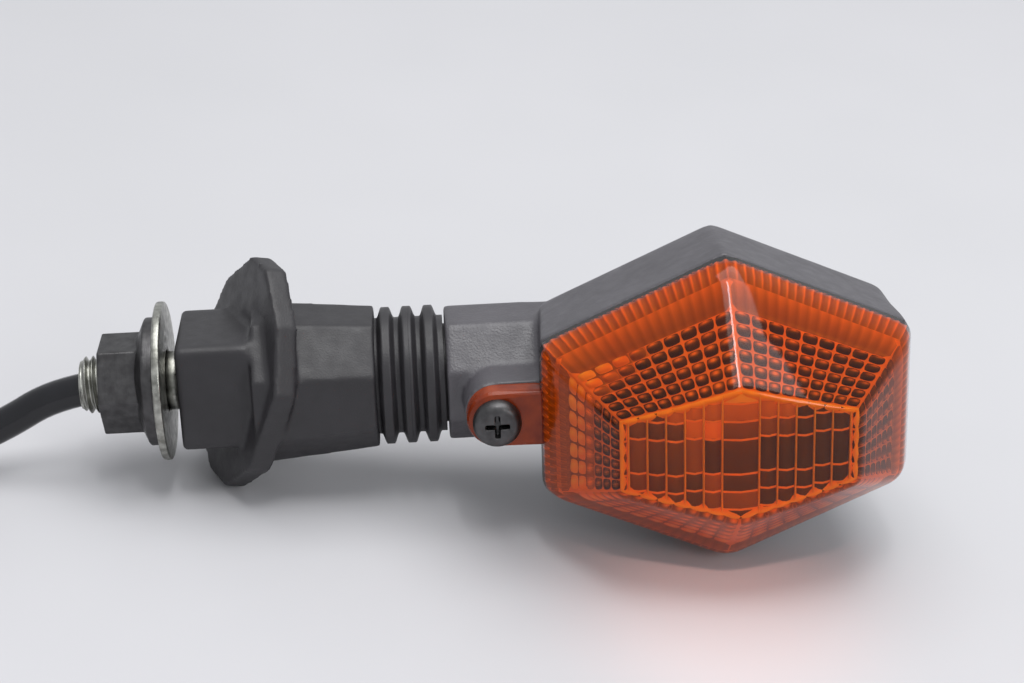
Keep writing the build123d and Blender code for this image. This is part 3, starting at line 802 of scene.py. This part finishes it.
for corner in range(6):
    columns = 7 if corner in UPRIGHT else 9
    start = bead_start(corner)
    for row in range(BEAD_ROWS):
        for column in range(columns):
            s0, s1 = column / columns, (column + 1) / columns
            t0 = start + (BEAD_END - start) * row / BEAD_ROWS
            t1 = start + (BEAD_END - start) * (row + 1) / BEAD_ROWS
            # Painted light: the beads at the left and at the outer edge are painted brighter, the
            # lower facets painted glowing and the right facet painted dim
            outward = 1 - (t0 - start) / (1 - start)
            toward_left = {0: s0 - 0.4, 1: 0.55, 2: 0.6 - s0}.get(corner, -0.5)
            painted_brightness = max(0.0, outward + toward_left - 1.0) * 3.0
            if corner in LOWER:
                painted_brightness = 0.45 + 0.4 * outward
            if corner == 4:
                painted_brightness = 0.15 + 0.2 * outward
            painted_brightness = min(painted_brightness, 1.0)
            # Painted glints on the upper facets, strongest next to the crease between them, with a
            # random strength
            wobble = random.uniform(-0.05, 0.05)
            painted_glint_strength = {0: 1 - s0, 5: s1}.get(corner, 0.0) * random.uniform(0.5, 1.0)
            dark = 0.06 + 0.75 * painted_brightness + 0.12 * painted_glint_strength + wobble
            pillow(corner, s0, s1, t0, t1, dark, 0.72 - 0.3 * painted_brightness, painted_glint_strength)

# Smooth zone and fluted band outside the beads, coloured with painted light: a painted glow row by
# row, and painted highlights on the flutes' ridges
flute_pitch = 1.5
flute_steps = 4
flute_height = 0.3
zone_steps = 48
for corner in range(6):
    start = bead_start(corner)
    zone = ((-0.03, DEEP), (0.06, DEEP - 0.3), (start - 0.04, DEEP - 0.3), (start, DEEP))
    grid = [
        [facet_point(corner, k / zone_steps, t, depth) for k in range(zone_steps + 1)]
        for t, depth in zone
    ]
    # Painted glow, changing row by row across the smooth zone
    optics.patch(
        grid, lambda r, c, rr, cc: (0.62, 0.55, 0.44, 0.5)[rr] + 0.05 * math.sin(cc * 2.1)
    )
    low_edge = inset(rim, 0.9)
    length = (along_side(low_edge, corner, 1.0) - along_side(low_edge, corner, 0.0)).length
    points = int(length / flute_pitch) * flute_steps
    grid = []
    for share in (0.0, 0.5, 1.0):
        row = []
        for k in range(points + 1):
            low = along_side(low_edge, corner, k / points)
            place = low.lerp(along_side(band_outline(DEEP), corner, k / points), share)
            ridge = flute_height * math.cos(math.pi * k / 2) * (1.0 - share)
            inward = 1 - (flute_height * (1.0 - share) - ridge) / place.length
            front = rim_front + 0.1 + (band_depth(DEEP) - rim_front - 0.2) * share
            row.append(lamp_point(place.x * inward, front, place.y * inward))
        grid.append(row)
    # Painted highlights on the flutes' ridges, dimmer between them
    optics.patch(
        grid,
        lambda r, c, rr, cc: 0.86 - 0.15 * rr if cc % flute_steps == 0 else 0.55 - 0.06 * rr,
    )

# Front face: columns of prisms, the middle one double, with stepped cross lines, all in painted
# light and shade
column_pitch = 2.9
line_half = 0.2
face_edge = 18.7
past_peak = 12.0
lines = [column_pitch * k for k in range(-6, 7) if k]
borders = [-face_edge] + lines + [face_edge]
cross = [-9.2, -6.1, -3.0, 3.0, 6.1, 9.2]
# Cells painted brighter: painted reflections of the bowl and bulb behind the face
PAINTED_REFLECTIONS = {
    (4, 4): 0.62,
    (5, 4): 0.7,
    (4, 3): 0.4,
    (6, 4): 0.34,
    (5, 2): 0.42,
    (6, 1): 0.36,
    (5, 1): 0.34,
    (7, 4): 0.36,
    (8, 4): 0.3,
}


def face_half_height(u):
    return face[2] - 0.55 - (face[2] - face[1]) * abs(u) / face[0]


def face_patch(u0, u1, w0, w1, height, painted_light_low, painted_light_high, n=4):
    """One prism of the front face, between two heights, cut off at the face's outline, with
    painted light from its bottom to its top.
    """
    grid = []
    for i in range(n + 1):
        row = []
        for j in range(n + 1):
            u = u0 + (u1 - u0) * j / n
            limit = face_half_height(u)
            w = min(max(w0 + (w1 - w0) * i / n, -limit), limit)
            bulge = 1 - (2 * j / n - 1) ** 2
            row.append(lamp_point(u, face_depth(u, DEEP - height * bulge), w))
        grid.append(row)
    optics.patch(grid, lambda r, c, rr, cc: painted_light_low + (painted_light_high - painted_light_low) * rr / n)


for column, (left, right) in enumerate(zip(borders, borders[1:])):
    middle = (left + right) / 2
    limit = face_half_height(middle) + 1
    step = 0.22 * ((column * 5) % 3 - 1)
    rows = [-past_peak] + [w + step for w in cross] + [past_peak]
    for row, (low, high) in enumerate(zip(rows, rows[1:])):
        if low > limit or high < -limit:
            continue
        # Painted shade in the cells, darker to the right, and the top two rows painted brighter
        shade = 0.2 - 0.006 * middle + random.uniform(-0.03, 0.03)
        shade = PAINTED_REFLECTIONS.get((column, row), max(shade, 0.05))
        central = 3 <= column <= 8
        if row == 6:
            shade = 0.88 if central else 0.4
        if row == 5 and central:
            shade = 0.56
        side = (left + line_half, right - line_half)
        face_patch(*side, low + line_half, high - line_half, 0.5, shade, shade + 0.06)
        # Painted glow on the step of each cross line
        face_patch(*side, high - line_half, high + line_half, 0.65, 0.72, 0.8, 2)
# Painted glow on the lines between the columns
for u in lines:
    face_patch(u - line_half, u + line_half, -past_peak, past_peak, 0.7, 0.84, 0.92, 8)

# Ribs along the creases between the side facets, painted glowing
rib_steps = 14
rib_half = 0.035
for corner in range(6):
    grid = []
    for side, s, sink in (
        ((corner + 5) % 6, 1 - rib_half, 0.0),
        (corner, 0.0, 0.35),
        (corner, rib_half, 0.0),
    ):
        shares = [1.02 * k / rib_steps for k in range(rib_steps + 1)]
        grid.append([facet_point(side, s, t, DEEP - sink) for t in shares])
    optics.patch(grid, lambda r, c, rr, cc: 0.72)

# Scalloped bead round the front face's edge, closing the layer between facets and face, with a
# painted glow
scallop_pitch = 2.6
scallop_steps = 6
edge = face_outline(DEEP)
inner = inset(face, 0.45 * DEEP + 0.8)
for corner in range(6):
    length = (along_side(edge, corner, 1.0) - along_side(edge, corner, 0.0)).length
    count = max(3, int(length / scallop_pitch)) * scallop_steps
    shares = [j / count for j in range(count + 1)]
    lifts = [0.5 + 0.3 * abs(math.sin(math.pi * j / scallop_steps)) for j in range(count + 1)]
    tops = [along_side(edge, corner, k) for k in shares]
    ends = [along_side(inner, corner, k) for k in shares]
    grid = [
        [facet_point(corner, k, 0.965, DEEP) for k in shares],
        [facet_point(corner, k, 0.99, DEEP - lift) for k, lift in zip(shares, lifts)],
        [lamp_point(p.x, face_depth(p.x, DEEP - lift), p.y) for p, lift in zip(tops, lifts)],
        [lamp_point(p.x, face_depth(p.x, DEEP), p.y) for p in ends],
    ]
    optics.patch(grid, lambda r, c, rr, cc: (0.6, 0.9, 0.85, 0.7)[rr])

optic_piece = new_piece(
    "lens_optics", optics.vertices, optics.faces, "lens", "lens_amber", material=optic.material
)
# Painted light and shade of the optic layer, one value at each corner
painted_light_layer = optic_piece.data.attributes.new("painted_light", "FLOAT", "CORNER")
painted_light_layer.data.foreach_set("value", optics.painted_tones)

# ---------------------------------------------------------------- the lead as a cord
lead_curve.materials.append(finish["sheath_black"])
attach(lead, "mount")
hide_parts("lead_sheath", "lead_coil", "lead_tail")

# ---------------------------------------------------------------- floor and light
reach = 3000.0
floor_corners = [(-reach, -reach), (reach, -reach), (reach, reach), (-reach, reach)]
floor_points = [Vector((x, y, surface_height(x, y))) * MM for x, y in floor_corners]
floor_finish = Finish("floor", (0.7, 0.7, 0.71), 0.45)
floor_finish.paint(
    floor_finish.noise(5.0, 4.0, (1.0, 0.6, 1.0)),
    [(0.3, (0.55, 0.55, 0.568)), (0.7, (0.595, 0.59, 0.612))],
)
floor_finish.rough(floor_finish.noise(30.0, 5.0), 0.38, 0.55)
floor_mesh = bpy.data.meshes.new("floor")
floor_mesh.from_pydata(floor_points, [], [(0, 1, 2, 3)])
floor_mesh.materials.append(floor_finish.material)
floor = bpy.data.objects.new("floor", floor_mesh)
scene.collection.objects.link(floor)

world = bpy.data.worlds.new("studio")
scene.world = world
world.use_nodes = True
sky = world.node_tree.nodes["Background"]
sky.inputs["Color"].default_value = (0.95, 0.97, 1.0, 1.0)
sky.inputs["Strength"].default_value = 0.62


def aimed_light(data, place, target, power):
    """A light at a place in metres, pointing at a target."""
    data.energy = power
    lamp = bpy.data.objects.new(data.name, data)
    scene.collection.objects.link(lamp)
    lamp.location = place
    lamp.rotation_mode = "QUATERNION"
    lamp.rotation_quaternion = (Vector(target) - Vector(place)).to_track_quat("-Z", "Y")
    return lamp


# Soft boxes: name, place, target, width, height, power
for name, place, target, width, height, power in (
    ("top", (0.2, 0.0, 0.62), (0.12, -0.02, 0), 0.6, 0.6, 3.4),
    ("crease", (0.13, -0.38, 1.0), (0.09, -0.03, 0), 0.07, 0.3, 1.2),
    ("side", (0.75, -0.9, 0.5), (0.09, 0, 0), 0.25, 0.4, 2.0),
):
    panel = bpy.data.lights.new(name, "AREA")
    panel.shape = "RECTANGLE"
    panel.size = width
    panel.size_y = height
    aimed_light(panel, place, target, power).visible_camera = False

# Warm light on the floor in front of the lens
glow = bpy.data.lights.new("glow", "SPOT")
glow.color = (1.0, 0.55, 0.47)
glow.spot_size = math.radians(8.0)
glow.spot_blend = 1.0
glow.shadow_soft_size = 0.01
aimed_light(glow, (0.1, -0.3, 0.3), (0.088, -0.038, -0.03), 3.4)
